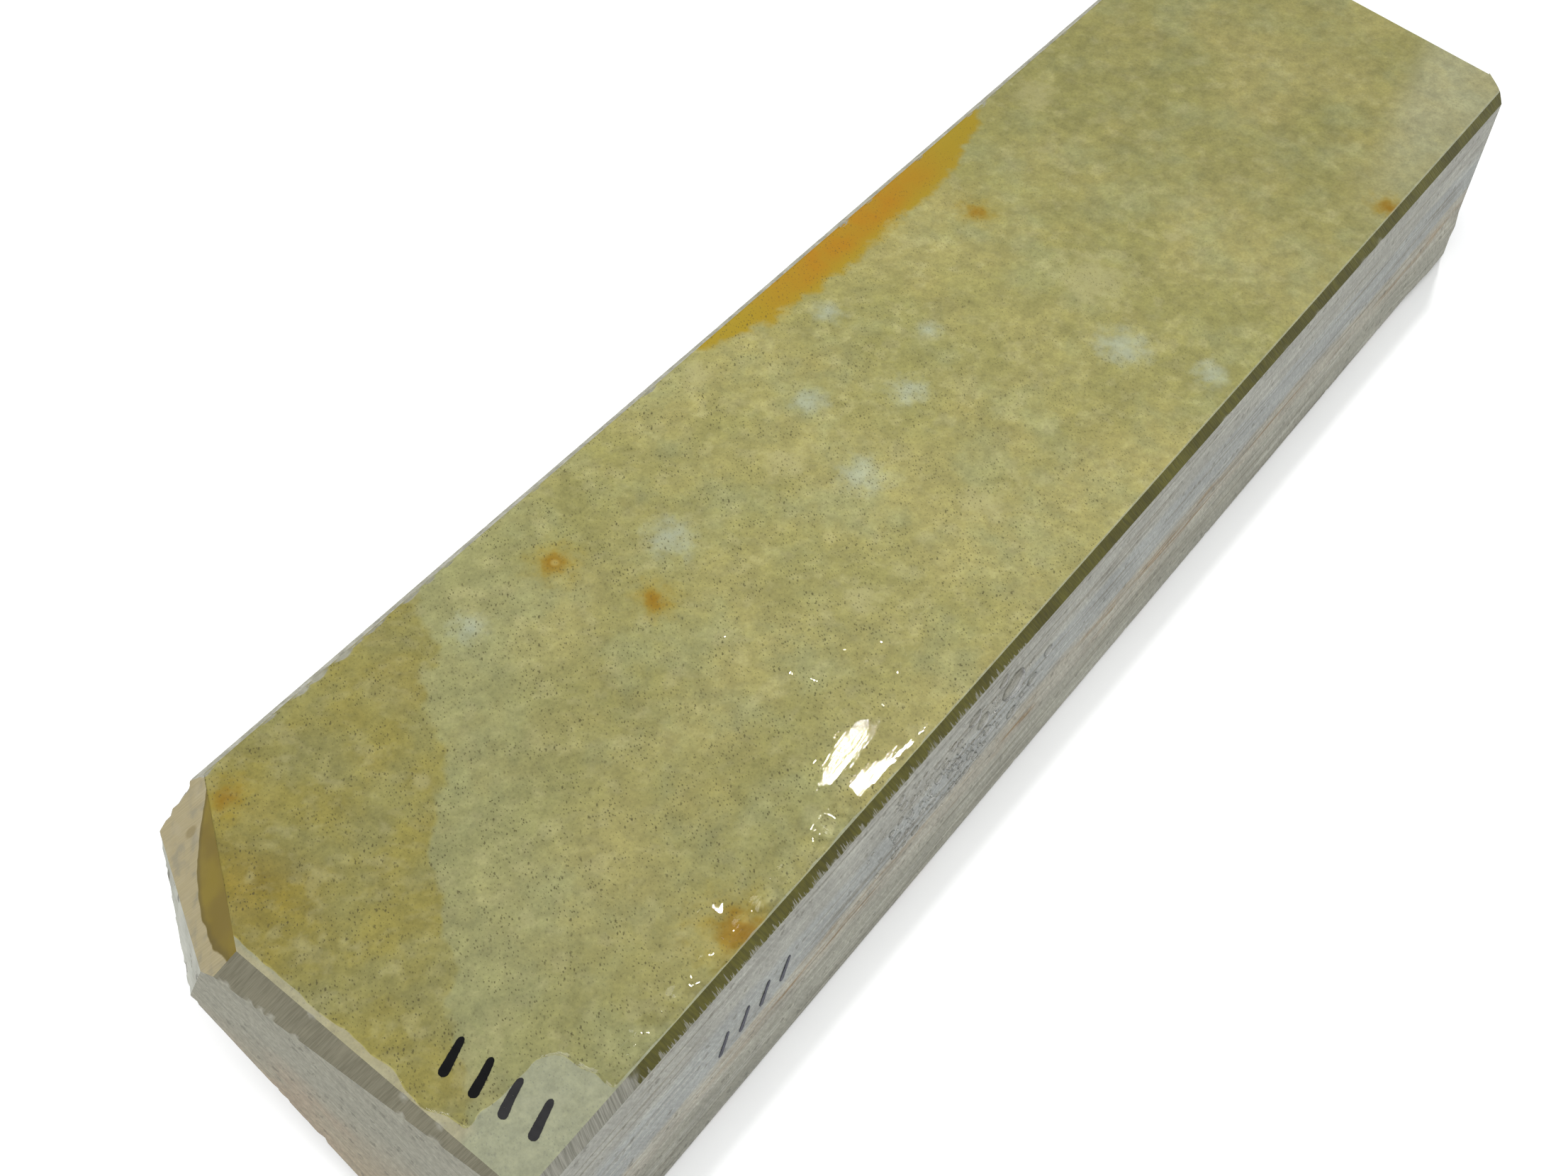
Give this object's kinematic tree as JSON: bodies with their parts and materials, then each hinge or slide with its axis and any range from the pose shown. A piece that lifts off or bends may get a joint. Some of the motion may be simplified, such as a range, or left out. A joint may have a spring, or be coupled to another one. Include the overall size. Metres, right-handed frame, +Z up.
{
  "type": "bench whetstone",
  "caption": "Long narrow natural stone block with a flat wet working face, clipped corners, sawn sides and a sloping natural underside, for sharpening carving tools.",
  "frame": {"origin": "middle of the block's footprint, on the surface it rests on", "axes": "+X along the length to the far end, +Y across to the undercut side, +Z up out of the working face"},
  "size_m": [0.206, 0.054, 0.0279],
  "materials": {
    "stone": "satin",
    "water": "polished",
    "ink": "matte"
  },
  "bodies": {
    "root": {"stone_block": "stone", "water_film": "water", "side_water_beads": "water", "top_tally_ink": "ink", "side_tally_ink": "ink"}
  },
  "joints": []
}
